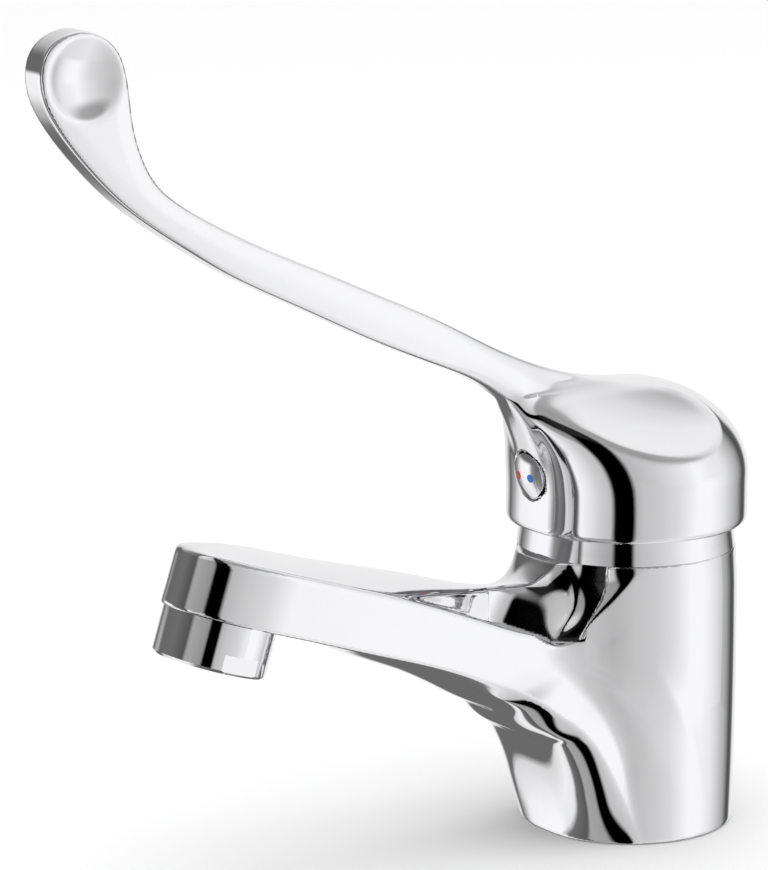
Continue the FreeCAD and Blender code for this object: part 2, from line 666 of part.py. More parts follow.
def make_stem():
    """Ball, rod, drilled block and the square that takes the handle."""
    block_top = STEM_SQUARE_BASE_Z
    stem = block(-STEM_BLOCK_X, STEM_BLOCK_X, -STEM_BLOCK_Y, STEM_BLOCK_Y,
                 STEM_BLOCK_BASE_Z, block_top)
    square = block(-STEM_SQUARE_HALF, STEM_SQUARE_HALF, -STEM_SQUARE_HALF, STEM_SQUARE_HALF,
                   STEM_SQUARE_BASE_Z, STEM_TOP_Z)
    ball = Part.makeSphere(STEM_BALL_R, V(0, 0, STEM_BALL_Z + STEM_BALL_R))
    stem = stem.fuse([square, rod(STEM_ROD_R, STEM_BALL_Z + 2, STEM_BLOCK_BASE_Z), ball])
    reach = STEM_BLOCK_X + 1
    bore = Part.makeCylinder(PIN_R + PIN_RUNNING_FIT, 2 * reach, V(-reach, 0, PIVOT_Z), V(1, 0, 0))
    return stem.cut(bore)


def cap_outline(radius, spring, rise, steps=10):
    """Points of a quarter ellipse, from the wall up to the crown."""
    points = []
    for i in range(steps + 1):
        turn = math.pi / 2 * i / steps
        points.append(V(radius * math.cos(turn), 0, spring + rise * math.sin(turn)))
    return spline(points, V(0, 0, rise), V(-radius, 0, 0))


def cap_outside():
    """Skirt with a rounded rim and a domed top."""
    rim = V(CAP_RIM_R, 0, CAP_RIM_Z)
    wall = V(CAP_R, 0, CAP_RIM_Z + CAP_RIM_RISE)
    bend = V(CAP_R - 0.25, 0, CAP_RIM_Z + 0.35)
    crown = V(0, 0, CAP_SPRING_Z + CAP_CROWN_RISE)
    outline = Part.Wire([
        edge_line(V(0, 0, CAP_RIM_Z), rim), Part.Arc(rim, bend, wall).toShape(),
        edge_line(wall, V(CAP_R, 0, CAP_SPRING_Z)),
        cap_outline(CAP_R, CAP_SPRING_Z, CAP_CROWN_RISE),
        edge_line(crown, V(0, 0, CAP_RIM_Z))])
    return Part.Face(outline).revolve(V(0, 0, 0), UP, 360)


def cap_inside():
    crown = V(0, 0, CAP_INNER_SPRING_Z + CAP_INNER_RISE)
    outline = Part.Wire([
        edge_line(V(0, 0, CAP_RIM_Z - 1), V(CAP_INNER_R, 0, CAP_RIM_Z - 1)),
        edge_line(V(CAP_INNER_R, 0, CAP_RIM_Z - 1), V(CAP_INNER_R, 0, CAP_INNER_SPRING_Z)),
        cap_outline(CAP_INNER_R, CAP_INNER_SPRING_Z, CAP_INNER_RISE),
        edge_line(crown, V(0, 0, CAP_RIM_Z - 1))])
    return Part.Face(outline).revolve(V(0, 0, 0), UP, 360)


def scoop(side):
    """A large ball that takes the shallow hollow out of one shoulder."""
    normal = V(*SCOOP_NORMAL).normalize()
    middle = V(SCOOP_X, SCOOP_Y, SCOOP_Z).add(V(normal).multiply(SCOOP_BALL_R - SCOOP_DEPTH))
    return Part.makeSphere(SCOOP_BALL_R, V(side * middle.x, middle.y, middle.z))


def blade():
    """The flat lever: a closed outline in the plane x = 0, made thick both ways."""
    def run(points):
        return spline([V(-BLADE_HALF, y, z) for y, z in points])
    start = V(-BLADE_HALF, *BLADE_LOWER[0])
    end = V(-BLADE_HALF, *BLADE_UPPER[-1])
    heel = V(-BLADE_HALF, BLADE_UPPER[-1][0], BLADE_LOWER[0][1] - 2)
    outline = Part.Wire([run(BLADE_LOWER), run(BLADE_HEAD), run(BLADE_UPPER),
                         edge_line(end, heel), edge_line(heel, start)])
    plate = Part.Face(outline).extrude(V(2 * BLADE_HALF, 0, 0))
    rims = []
    for edge in plate.Edges:
        box = edge.BoundBox
        if box.XLength < 0.01 and box.YMin < -45:
            rims.append(edge)
    return plate.makeFillet(BLADE_EDGE, rims)


def dish(side):
    """A ball that presses the round thumb dish into one face of the lever's head."""
    ball_r = (DISH_R ** 2 + DISH_DEPTH ** 2) / (2 * DISH_DEPTH)
    x = side * (BLADE_HALF - DISH_DEPTH + ball_r)
    return Part.makeSphere(ball_r, V(x, DISH_Y, DISH_Z))


def lever_root():
    """Fairing that spreads the blade out onto the cap."""
    wires = []
    for y, top_half, top, foot_half, foot in ROOT_STATIONS:
        corners = [V(-foot_half, y, foot), V(foot_half, y, foot),
                   V(top_half, y, top), V(-top_half, y, top)]
        wires.append(Part.makePolygon(corners + [corners[0]]))
    return Part.makeLoft(wires, True, False)


def button_place(shape):
    """Carry a shape drawn upright at the origin to the button's axis, facing out."""
    lean = FreeCAD.Rotation(V(1, 0, 0), 90.0 + BUTTON_TILT)
    shape.Placement = FreeCAD.Placement(V(0, -CAP_R, BUTTON_Z), lean)
    return shape


def make_handle():
    outside = cap_outside().cut([scoop(-1), scoop(1)])
    outside = outside.fuse([blade(), lever_root()])
    outside = outside.cut([dish(-1), dish(1)])
    handle = outside.cut(cap_inside())
    arm_start = V(0, -CAP_R + 1, BUTTON_Z)
    arm = Part.makeCylinder(ARM_R, CAP_R - STEM_SQUARE_HALF, arm_start, V(0, 1, 0))
    front = Part.makeCylinder(ARM_FRONT_R, ARM_FRONT_DEPTH, arm_start, V(0, 1, 0))
    inner_wall = cap_outside().cut([scoop(-1), scoop(1)])
    handle = handle.fuse([rod(BOSS_R, BOSS_BASE_Z, CAP_INNER_SPRING_Z + CAP_INNER_RISE), arm, front.common(inner_wall)])
    half = STEM_SQUARE_HALF + SOCKET_CLEAR
    socket = block(-half, half, -half, half, BOSS_BASE_Z - 1, STEM_TOP_Z)
    screw_way = Part.makeCylinder(SCREW_R, CAP_R, V(0, -CAP_R, BUTTON_Z), V(0, 1, 0))
    recess = button_place(rod(BUTTON_R + BUTTON_GAP, -BUTTON_DEPTH, 4))
    return handle.cut([socket, screw_way, recess])


def button_dome():
    """The large ball whose top is the button's slightly domed face."""
    radius = (BUTTON_R ** 2 + BUTTON_DOME ** 2) / (2 * BUTTON_DOME)
    return Part.makeSphere(radius, V(0, 0, BUTTON_PROUD - radius))


def make_index_cap():
    """Round button: a plug with a slightly domed face and two sunk colour marks."""
    button = rod(BUTTON_R, -BUTTON_DEPTH, BUTTON_PROUD + 1).common(button_dome())
    low = BUTTON_PROUD - DOT_DEPTH
    holes = [rod(DOT_R, low, BUTTON_PROUD + 1, side * DOT_X) for side in (-1, 1)]
    return button_place(button.cut(holes))


def make_mark(side):
    mark = rod(DOT_R, BUTTON_PROUD - DOT_DEPTH, BUTTON_PROUD + 1, side * DOT_X)
    return button_place(mark.common(button_dome()))


def make_set_screw():
    tail = -STEM_SQUARE_HALF - SCREW_LENGTH
    screw = Part.makeCylinder(SCREW_R, SCREW_LENGTH, V(0, tail, BUTTON_Z), V(0, 1, 0))
    corner = SCREW_HEX / math.sqrt(3)
    hexagon = [V(corner * math.cos(math.radians(a)), tail - 1,
                 BUTTON_Z + corner * math.sin(math.radians(a))) for a in range(0, 360, 60)]
    key = Part.Face(Part.makePolygon(hexagon + [hexagon[0]])).extrude(V(0, 4, 0))
    return screw.cut(key)


save("body", make_body())
save("cover_ring", make_cover_ring())
save("ring_nut", make_ring_nut())
save("grip_ring", ring_seal(GRIP_RING_R, GRIP_RING_SECTION_R, GRIP_RING_Z))
save("base_seal", make_base_seal())
save("aerator_housing", make_aerator_housing())
save("aerator_core", make_aerator_core())
save("aerator_diffuser", make_aerator_diffuser())
save("aerator_washer", make_aerator_washer())
save("cartridge_base", make_cartridge_base())
save("inlet_seals", make_inlet_seals())
save("cartridge_housing", make_cartridge_housing())
save("housing_seal", make_housing_seal())
save("limit_ring", make_limit_ring())
save("fixed_disc", make_fixed_disc())
save("moving_disc", make_moving_disc())
save("disc_carrier", make_disc_carrier())
save("turret", make_turret())
save("pivot_pin", make_pivot_pin())
save("stem", make_stem())
save("handle", make_handle())
save("set_screw", make_set_screw())
save("index_cap", make_index_cap())
save("blue_mark", make_mark(1))
save("red_mark", make_mark(-1))
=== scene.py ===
# %% [markdown]
# # A basin mixer tap, in looks
#
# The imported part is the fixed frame. The cast body and the handle are made again here as fine
# surfaces, because polished chrome shows every facet. The small turned pieces keep their own mesh.

import itertools
import json
import math

import bpy
import numpy as np
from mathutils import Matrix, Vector

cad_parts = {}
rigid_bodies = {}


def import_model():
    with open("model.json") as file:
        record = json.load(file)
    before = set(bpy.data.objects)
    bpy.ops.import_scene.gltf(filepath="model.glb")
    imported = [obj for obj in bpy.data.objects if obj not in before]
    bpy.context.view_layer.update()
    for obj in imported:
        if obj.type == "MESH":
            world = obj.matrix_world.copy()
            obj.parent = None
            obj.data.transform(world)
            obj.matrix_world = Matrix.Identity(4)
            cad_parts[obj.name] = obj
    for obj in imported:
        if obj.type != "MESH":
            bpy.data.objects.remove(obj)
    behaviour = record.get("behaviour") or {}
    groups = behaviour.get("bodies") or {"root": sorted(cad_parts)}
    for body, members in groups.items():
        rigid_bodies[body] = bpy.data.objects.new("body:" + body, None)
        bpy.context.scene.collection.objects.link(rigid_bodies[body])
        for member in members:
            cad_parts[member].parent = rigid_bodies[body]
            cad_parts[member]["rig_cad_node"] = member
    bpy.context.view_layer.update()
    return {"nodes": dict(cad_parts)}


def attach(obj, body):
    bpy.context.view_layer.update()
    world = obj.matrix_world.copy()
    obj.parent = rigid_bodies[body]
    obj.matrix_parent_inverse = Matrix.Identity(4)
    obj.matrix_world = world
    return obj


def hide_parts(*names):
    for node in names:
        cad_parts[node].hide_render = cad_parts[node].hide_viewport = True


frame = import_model()
NODES = frame["nodes"]

# %% [markdown]
# ## Surfaces from a field
#
# A casting is a few simple forms that run into each other with soft corners. They could be sculpted
# or drawn as patches, but patches are hard to join without a seam that chrome would show. So each form
# is a field: how far a point is outside it, with the surface where the field is zero. Forms join by a
# soft minimum and are cut by a soft maximum, which leave the fillets of a foundry pattern.
# All fields are in millimetres.

# %% Soft joins
MM = 0.001


def soft_min(a, b, width):
    """The lower of two fields, less the cube of their nearness (1 where equal) times a sixth of the width."""
    near = np.maximum(width - np.abs(a - b), 0) / width
    return np.minimum(a, b) - near ** 3 * width / 6


def soft_max(a, b, width):
    """The higher of two fields, with the corner rounded: the soft minimum of both turned negative."""
    return -soft_min(-a, -b, width)


def ease(value, start, end):
    """0 before start, 1 after end, between them three times the share squared less twice its cube."""
    t = np.clip((value - start) / (end - start), 0, 1)
    return t * t * (3 - 2 * t)


print("half way", ease(5, 0, 10), "and two equal fields joined over 6 mm", soft_min(0.0, 0.0, 6.0))

# %% [markdown]
# ## Smooth curves
#
# The tap's outlines are long, slow curves, such as a pattern maker draws by bending a thin lath round a
# few pins. A natural cubic does the same with numbers: few points, and no kink between them.

# %% A cubic through points
def spline(knots, values, at):
    """Each end's value and second slope, weighted by nearness; one small matrix gives the second slopes."""
    knots, values = np.asarray(knots, float), np.asarray(values, float)
    gap = np.diff(knots)
    n = len(knots)
    matrix, right = np.eye(n), np.zeros(n)
    for i in range(1, n - 1):
        matrix[i, i - 1:i + 2] = gap[i - 1], 2 * (gap[i - 1] + gap[i]), gap[i]
        right[i] = 6 * ((values[i + 1] - values[i]) / gap[i] - (values[i] - values[i - 1]) / gap[i - 1])
    bend = np.linalg.solve(matrix, right)
    at = np.asarray(at, float)
    k = np.clip(np.searchsorted(knots, at) - 1, 0, n - 2)
    a, b = knots[k + 1] - at, at - knots[k]
    curve = (bend[k] * a ** 3 + bend[k + 1] * b ** 3) / (6 * gap[k])
    return curve + (values[k] / gap[k] - bend[k] * gap[k] / 6) * a + (
        values[k + 1] / gap[k] - bend[k + 1] * gap[k] / 6) * b


print("a bump of height 1, at its quarter", spline([0, 1, 2], [0, 1, 0], 0.5))

# %% A curve that knows its nearest point
CURVE_STEP = 0.15
COARSE_STEP, BATCH, SEARCH_ROUNDS = 8, 8192, 5


class PlaneCurve:
    """A smooth curve in a plane, known by fine samples of its place and direction."""

    def __init__(self, points):
        """Two cubics, one for each coordinate, over the length of the straight lines between the points."""
        points = np.asarray(points, float)
        chord = np.r_[0, np.cumsum(np.hypot(*np.diff(points, axis=0).T))]
        t = np.linspace(0, chord[-1], int(chord[-1] / CURVE_STEP))
        self.place = np.stack([spline(chord, points[:, 0], t), spline(chord, points[:, 1], t)], 1)
        run = np.hypot(*np.diff(self.place, axis=0).T)
        self.s = np.r_[0, np.cumsum(run)]
        tangent = np.gradient(self.place, self.s, axis=0)
        self.tangent = tangent / np.linalg.norm(tangent, axis=1)[:, None]
        self.knot_s = np.interp(chord, t, self.s)
        self.last = None

    def seek(self, y, z):
        """How far along the nearest point is, and the distance to its left; the last answer is kept."""
        if self.last and self.last[0] is y and self.last[1] is z:
            return self.last[2]
        wide_y, wide_z = np.broadcast_arrays(y, z)
        flat = np.stack([wide_y.ravel(), wide_z.ravel()], 1)
        coarse = np.arange(0, len(self.s), COARSE_STEP)
        s = np.empty(len(flat))
        for start in range(0, len(flat), BATCH):
            gap_y, gap_z = (flat[start:start + BATCH, i, None] - self.place[coarse, i] for i in (0, 1))
            s[start:start + BATCH] = self.s[coarse[np.argmin(gap_y ** 2 + gap_z ** 2, axis=1)]]
        for _ in range(SEARCH_ROUNDS):
            gap, tangent = self.apart(flat, s)
            s += (gap * tangent).sum(1)
        gap, tangent = self.apart(flat, s)
        off = gap[:, 1] * tangent[:, 0] - gap[:, 0] * tangent[:, 1]
        self.last = (y, z, (s.reshape(wide_y.shape), off.reshape(wide_y.shape)))
        return self.last[2]

    def apart(self, flat, s):
        """From the curve's point at s to each given point, and the curve's direction there."""
        tangent = np.stack([np.interp(s, self.s, self.tangent[:, i]) for i in (0, 1)], 1)
        place = np.stack([np.interp(s, self.s, self.place[:, i]) for i in (0, 1)], 1)
        beyond = s - np.clip(s, 0, self.s[-1])
        return flat - place - beyond[:, None] * tangent, tangent


print("samples on a 30 mm line", len(PlaneCurve([(0, 0), (15, 0), (30, 0)]).s))

# %% [markdown]
# ## From field to mesh
#
# Metaballs or a voxel remesh would turn a field into facets, but chrome shows every facet. Here a net
# of squares is laid over the cells that the surface crosses, its points are drawn onto the surface,
# and each point gets the field's own slope as its normal. The reflections then run smoothly.

# %% Net over a field
SLAB = 6


def surface_net(field, low, high, cell):
    """A point in each cell that is crossed, the mean of its edge cuts; a square for each cut edge."""
    axes = [np.arange(a, b + cell, cell) for a, b in zip(low, high)]
    shape = tuple(len(a) for a in axes)
    x, y, z = np.meshgrid(*axes, indexing="ij", sparse=True)
    f = np.concatenate([field(x[i:i + SLAB], y, z) for i in range(0, shape[0], SLAB)])
    inside = f < 0
    nx, ny, nz = shape
    corners = sum(inside[i:nx - 1 + i, j:ny - 1 + j, k:nz - 1 + k].astype(np.int8)
                  for i, j, k in itertools.product((0, 1), repeat=3))
    cells = np.argwhere((corners > 0) & (corners < 8))
    number = np.full(corners.shape, -1, np.int64)
    number[tuple(cells.T)] = np.arange(len(cells))
    total, cuts = np.zeros((len(cells), 3)), np.zeros(len(cells))
    unit = np.eye(3, dtype=int)
    for axis in range(3):
        one, two = unit[(axis + 1) % 3], unit[(axis + 2) % 3]
        for i, j in itertools.product((0, 1), repeat=2):
            start = cells + i * one + j * two
            a, b = f[tuple(start.T)], f[tuple((start + unit[axis]).T)]
            cut = (a < 0) != (b < 0)
            t = np.where(cut, a / np.where(cut, a - b, 1), 0)
            total[cut] += (start + t[:, None] * unit[axis])[cut]
            cuts += cut
    points = np.array([a[0] for a in axes]) + cell * total / cuts[:, None]
    quads = []
    for axis in range(3):
        one, two = unit[(axis + 1) % 3], unit[(axis + 2) % 3]
        a = np.delete(inside, -1, axis)
        b = np.delete(inside, 0, axis)
        edge = np.argwhere(a != b)
        ring = [edge, edge - one, edge - one - two, edge - two]
        quad = np.stack([number[tuple(r.T)] for r in ring], 1)
        out = a[tuple(edge.T)]
        quads.append(np.where(out[:, None], quad, quad[:, ::-1]))
    return points, np.concatenate(quads)


# %% A piece from a field
SLOPE_STEP = 0.03
DRAW_ROUNDS, DRAW_LIMIT, LEAST_SLOPE = 2, 0.3, 0.2


def slope(field, points):
    """The field a small step ahead less the field a small step back, over both steps, for each axis."""
    columns = []
    for axis in range(3):
        step = np.zeros(3)
        step[axis] = SLOPE_STEP
        columns.append((field(*(points + step).T) - field(*(points - step).T)) / (2 * SLOPE_STEP))
    return np.stack(columns, 1)


def field_piece(name, field, low, high, cell, body, node):
    """A named mesh; each point moves against the slope times the field over the slope squared."""
    points, quads = surface_net(field, low, high, cell)
    for _ in range(DRAW_ROUNDS):
        g = slope(field, points)
        size = np.maximum((g * g).sum(1), LEAST_SLOPE)
        points = points - np.clip(field(*points.T) / size, -DRAW_LIMIT, DRAW_LIMIT)[:, None] * g
    g = slope(field, points)
    normals = g / np.maximum(np.linalg.norm(g, axis=1), 1e-6)[:, None]
    mesh = bpy.data.meshes.new(name)
    mesh.from_pydata((points * MM).tolist(), [], quads.tolist())
    mesh.polygons.foreach_set("use_smooth", np.ones(len(quads), bool))
    mesh.normals_split_custom_set_from_vertices(normals.tolist())
    piece = bpy.data.objects.new(name, mesh)
    bpy.context.scene.collection.objects.link(piece)
    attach(piece, body)
    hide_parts(node)
    print(name, "points", len(points), "triangles", 2 * len(quads))
    return piece


# %% [markdown]
# ## The cast body
#
# On the real tap this is one brass casting. The lower crease runs from the tip, under the spout and
# down the front to the foot. A loft would be the usual way; here every section stands square to the
# crease instead, so that one curve rules the whole form. Each has a swelling keel below, straight
# flanks and an arched top between two rails.

# %% Spout sections along the crease
TILT = math.radians(18)
TIP_Y, TIP_Z = -112.6, 65.7


def spout_point(along, rise):
    """The tip, moved forward along the spout and up square to it, by the sine and cosine of its tilt."""
    return (TIP_Y - along * math.cos(TILT) + rise * math.sin(TILT),
            TIP_Z + along * math.sin(TILT) + rise * math.cos(TILT))


# y, z, keel, rail rise, crown rise
SECTIONS = [
    (*spout_point(24, 0), 0.4, 13.5, 16.2),
    (*spout_point(10, 0), 0.4, 13.5, 16.2),
    (*spout_point(-8, 0), 0.4, 13.5, 16.4),
    (*spout_point(-20, -0.1), 0.7, 13.5, 16.7),
    (*spout_point(-34, -0.2), 2.3, 13.4, 17.5),
    (*spout_point(-50, -0.3), 3.7, 13.0, 18.3),
    (*spout_point(-62, -1.0), 5.0, 12.8, 19.1),
    (-45.5, 41.8, 5.8, 13.4, 19.8),
    (-37.6, 37.7, 6.0, 14.6, 20.0),
    (-33.0, 34.2, 6.8, 15.4, 19.0),
    (-27.6, 29.9, 6.6, 16.0, 18.0),
    (-22.0, 22.8, 6.7, 16.0, 17.0),
    (-16.0, 11.2, 8.6, 16.0, 17.0),
    (-12.1, 0.0, 11.9, 16.0, 17.0),
    (-11.0, -14.0, 13.5, 16.0, 17.0),
]
CREASE = PlaneCurve([row[:2] for row in SECTIONS])
# Where the spout's rounded end begins, and how long that end is
TIP_S = CREASE.knot_s[2]
NOSE = 22.6


def section_value(column, s):
    """A section's measure at a place along the crease."""
    return spline(CREASE.knot_s, [row[column] for row in SECTIONS], s)


print("crease", round(CREASE.s[-1]), "mm long, from", SECTIONS[0][:2], "to", SECTIONS[-1][:2])

# %% Half widths by the turn down
# Seen from a middle inside the column, the turn below level in degrees, then the half width at the
# crease and at the rail. Widths along the crease itself would jump inside its tight bend.
FAN_Y, FAN_Z = 12.0, 60.0
FAN = [(-40, 14.4, 14.0), (0, 14.4, 14.0), (7, 14.5, 13.8), (12, 14.6, 13.8), (17.6, 15.2, 14.0),
       (24, 17.5, 14.8), (30, 19.0, 16.0), (37, 20.0, 18.0), (48.5, 20.6, 20.0), (61, 20.9, 21.0),
       (68, 21.6, 21.4), (78, 22.0, 21.8), (90, 22.0, 21.8)]


def half_widths(y, z):
    """The half widths at the crease and at the rail, each a cubic over the turn below level."""
    turn = np.clip(np.degrees(np.arctan2(FAN_Z - z, np.maximum(FAN_Y - y, 1))), -40, 90)
    return (spline([row[0] for row in FAN], [row[i] for row in FAN], turn) for i in (1, 2))


print("half widths at the foot", *(round(float(half), 1) for half in half_widths(-12.1, 0.0)))

# %% [markdown]
# ## Column and spout
#
# The column swells slightly on its way up, is drawn in again at the neck, and leans a little forward
# from a foot that is set back. The spout's underside is round near the tip and flattens on its way
# down, where the photo shows a bright, nearly flat face between two creases. At the very foot it
# rounds again, to end in the column's circle.

# %% Column and spout fields
# The column's radius at the foot, its swell, the height where it is widest, and the neck
COLUMN_R, SWELL, BELLY_Z, NECK_Z, NECK_IN = 24.9, 1.2, 57, 67.4, 0.25
# How far the foot is set back from the neck's axis
SHIFT_Y = 1.2


def column_field(x, y, z):
    """Distance from the leaning axis, less the radius: a parabola of the height, drawn in at the neck."""
    up = np.clip(z, -5, 80)
    radius = COLUMN_R + SWELL * (1 - ((up - BELLY_Z) / BELLY_Z) ** 2) - NECK_IN * ease(up, BELLY_Z, NECK_Z)
    return np.hypot(x, y - SHIFT_Y * (1 - up / NECK_Z)) - radius


def spout_field(x, y, z):
    """Keel, flanks and arched top: the keel falls off by a power of the share of the half width."""
    s, off = CREASE.seek(y, z)
    past = np.maximum(TIP_S - s, 0)
    s = np.maximum(s, TIP_S)
    keel, rail, crown = (section_value(i, s) for i in (2, 3, 4))
    crease_half, rail_half = half_widths(y, z)
    across = np.sqrt(x * x + (past * crease_half / NOSE) ** 2)
    share = across / crease_half
    power = 2.3 + 3.0 * ease(-z, -48, -14) * ease(z, -4, 12)
    bottom = -off - keel * (1 - share ** power)
    face = -off - keel * (1 - np.minimum(share, 1) ** power)
    flank = across - crease_half - (rail_half - crease_half) * np.clip(off / rail, -0.2, 2)
    arch = np.maximum(1 - (across / rail_half) ** 2, -0.3)
    top = off - rail - (crown - rail) * arch
    return soft_max(soft_max(flank, top, 1.8), bottom, 1.0), off, face


print("outside the column by", round(float(column_field(0, -30.0, 30.0)), 1), "mm at 30 mm in front")

# %% [markdown]
# ## Shoulder and hollow
#
# Behind the spout's arched top the rails climb to the neck, and on each side of that ramp lies a
# hollow whose far wall follows the column. In the photo the hollow is nearly black, so its walls have
# to stand where the dark slot of the studio shows in them. A block and four planes are enough.

# %% Shoulder and hollow fields
# Where the rail runs on over the root of the spout and up into the neck: y, then height
SHOULDER = ([-60, -50, -43, -36, -29, -23, -16, -8, 10],
            [61.2, 57.6, 54.8, 52.2, 51.0, 53.0, 56.6, 58.0, 58.0])
SHOULDER_HALF, SHOULDER_FOOT, SHOULDER_Y = 14.6, 42, 19


def shoulder_field(x, y, z):
    """A block inside the spout's root: a slightly narrowing width and the rail's height, cut off square."""
    wide = np.abs(x) - SHOULDER_HALF + 0.16 * np.maximum(-24 - y, 0)
    block = soft_max(wide, z - spline(*SHOULDER, np.clip(y, -60, 10)), 2.0)
    return np.maximum(np.maximum(block, SHOULDER_FOOT - z), np.abs(y + SHOULDER_Y) - SHOULDER_Y)


def pocket_field(x, y, z):
    """The lowest of four planes: the hollow's far wall, the ramp's ridge, the lip and the floor."""
    near = np.abs(x)
    wall = 0.829 * near - 0.559 * y - 23.9 - 0.3 * np.maximum(60 - z, -3)
    ridge = near - 3.2 - 0.35 * np.maximum(-y - 42, 0)
    lip = 13.0 + 0.25 * np.maximum(y + 36, 0) - near
    floor = z - 49.6 - 0.42 * np.maximum(-y - 31, 0)
    return soft_min(soft_min(wall, ridge, 2.0), soft_min(lip, floor, 2.5), 1.6)


print("rail's lowest height over the root", min(SHOULDER[1]), "mm")

# %% [markdown]
# ## Bores and the whole body
#
# A real body is drilled after casting: a stepped bore for the cartridge and its nut, two inlets and a
# stud hole in the foot, and a round seat for the aerator. They are cut sharp, as drills and lathe tools
# leave them, while the cast joins stay soft. A ring-shaped pocket under the foot saves brass. The base
# seal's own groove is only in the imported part: on this surface it would break out beside the crease.

# %% Bores
# Radius and floor of the cartridge's bore and the nut's
CARTRIDGE_BORES = ((20.5, 36), (22.2, 38))
# Middle, radius and top of the two inlets and the stud's hole
FOOT_HOLES = ((7.5, 4, 4.5, 14), (-7.5, 4, 4.5, 14), (0, -9.6, 3.4, 16))
# The pocket under the foot: middle radius, half width and depth; then the aerator's seat
UNDER_R, UNDER_HALF, UNDER_DEEP = 18.0, 2.2, 7
AERATOR_R, AERATOR_DEEP = 11.7, 8.6


def hole(x, y, radius, cx, cy):
    """The radius less the distance from an upright axis: positive inside the hole."""
    return radius - np.hypot(x - cx, y - cy)


def bores_field(x, y, z):
    """The highest of all the bores' fields, each the lower of its round and its depth."""
    bores = [np.minimum(hole(x, y, radius, 0, 0), z - floor) for radius, floor in CARTRIDGE_BORES]
    bores += [np.minimum(hole(x, y, radius, cx, cy), top - z) for cx, cy, radius, top in FOOT_HOLES]
    bores.append(np.minimum(UNDER_HALF - np.abs(np.hypot(x, y - SHIFT_Y) - UNDER_R), UNDER_DEEP - z))
    along = -(y - TIP_Y) * math.cos(TILT) + (z - TIP_Z) * math.sin(TILT)
    rise = (y - TIP_Y) * math.sin(TILT) + (z - TIP_Z) * math.cos(TILT)
    inside = np.minimum(AERATOR_R - np.hypot(along, x), AERATOR_DEEP - rise)
    for bore in bores:
        inside = np.maximum(inside, bore)
    return inside


print("bores", len(CARTRIDGE_BORES) + len(FOOT_HOLES) + 2)

# %% The body
# The widest fillets: from the column to the flanks, to the ramp, and round the shoulder
FLANK_FILL, RAMP_FILL, ROOT_FILL = 14.0, 19.0, 16.0


def body_field(x, y, z):
    """Column, spout and shoulder joined, cut by the front face, hollows, foot and neck, then drilled."""
    spout, off, face = spout_field(x, y, z)
    side = column_field(x, y, z)
    flank = FLANK_FILL * ease(off, 2, 13) * (0.25 + 0.75 * ease(z, 6, 34))
    ramp = RAMP_FILL * ease(-y, 19, 25) * ease(-np.abs(x), -17, -8) * ease(z, 48, 58)
    root = soft_min(side, shoulder_field(x, y, z), ROOT_FILL)
    f = soft_min(soft_min(side, spout, 1.0 + flank + ramp), root, 1.0)
    f = soft_max(f, face - 40 * ease(z, 26, 52), 0.8)
    f = soft_max(f, pocket_field(x, y, z), 1.8)
    f = soft_max(f, -z, 1.0)
    f = soft_max(f, z - NECK_Z - 30 * ease(-y, 27, 45), 0.8)
    return np.maximum(f, bores_field(x, y, z))


BODY_LOW, BODY_HIGH, BODY_CELL = (-27.6, -129, -1.2), (27.6, 28.2, 84), 0.65
body = field_piece("body_cast", body_field, BODY_LOW, BODY_HIGH, BODY_CELL, "casting", "body")

# %% [markdown]
# ## The handle
#
# On the real tap the cap, the lever and its head are one casting. The lever is a flat blade that stands
# on edge, so its side outline says nearly everything: an underside, a round head and an upper side.
# Seen from above, a second curve gives the crest between the lever and the two scoops on the cap.

# %% Lever outline and crest
LOWER = [(-21, 78), (-25.4, 86.0), (-28.4, 92.0), (-30.7, 97.0), (-32.5, 100.7), (-34.4, 103.4),
         (-36.8, 105.6), (-40.0, 108.1), (-45.3, 111.5), (-56.4, 116.6), (-75.4, 125.0), (-93.9, 134.1),
         (-111.9, 143.2), (-123.2, 150.2), (-138.3, 161.0), (-146.4, 169.0), (-150.9, 174.3),
         (-154.5, 179.4)]
HEAD = [(-156.8, 184.0), (-157.7, 188.6), (-157.2, 192.6), (-155.4, 195.6), (-152.3, 197.7),
        (-148.0, 198.7), (-143.8, 197.8), (-140.5, 195.8), (-138.3, 193.0), (-136.9, 189.0),
        (-136.2, 185.0)]
UPPER = [(-135.3, 178.0), (-133.2, 170.8), (-129.8, 164.8), (-125.2, 160.6), (-118.3, 156.2),
         (-110.7, 152.1), (-99.1, 146.5), (-88.7, 141.9), (-72.7, 134.6), (-56.4, 127.1),
         (-42.8, 120.2), (-30.8, 114.6), (-22.9, 111.6), (-12.0, 108.6), (0.0, 105.8), (14, 101)]
OUTLINE = PlaneCurve(LOWER + HEAD + UPPER)

# Seen from above: the near edge of the lever and of the crest on the cap, then round the scoop's end
CREST = PlaneCurve([(4.0, -175), (4.0, -120), (4.0, -60), (4.0, -42), (3.8, -32), (3.2, -24), (2.4, -15),
                    (2.1, -8.5), (3.0, -3.4), (5.5, 0.6), (8.4, 4.8), (11.0, 8.7), (12.7, 12.0),
                    (14.6, 14.2), (17.6, 14.2), (20.6, 12.0), (23.6, 8.2), (27.0, 3.0), (31.0, -4.0)])
print("lever outline", round(OUTLINE.s[-1]), "mm, crest", round(CREST.s[-1]), "mm")

# %% [markdown]
# ## Cap and lever
#
# The cap is a turned dome, but its front is drawn out into the lever: level by level the front half
# circle becomes a longer half ellipse. A plain dome with a lever stuck on would show a hard ring where
# they meet, and the photo shows none.

# %% Cap and lever fields
CAP_R, CAP_SPRING, CAP_RISE, CAP_FOOT = 28.5, 84.5, 22.2, 73
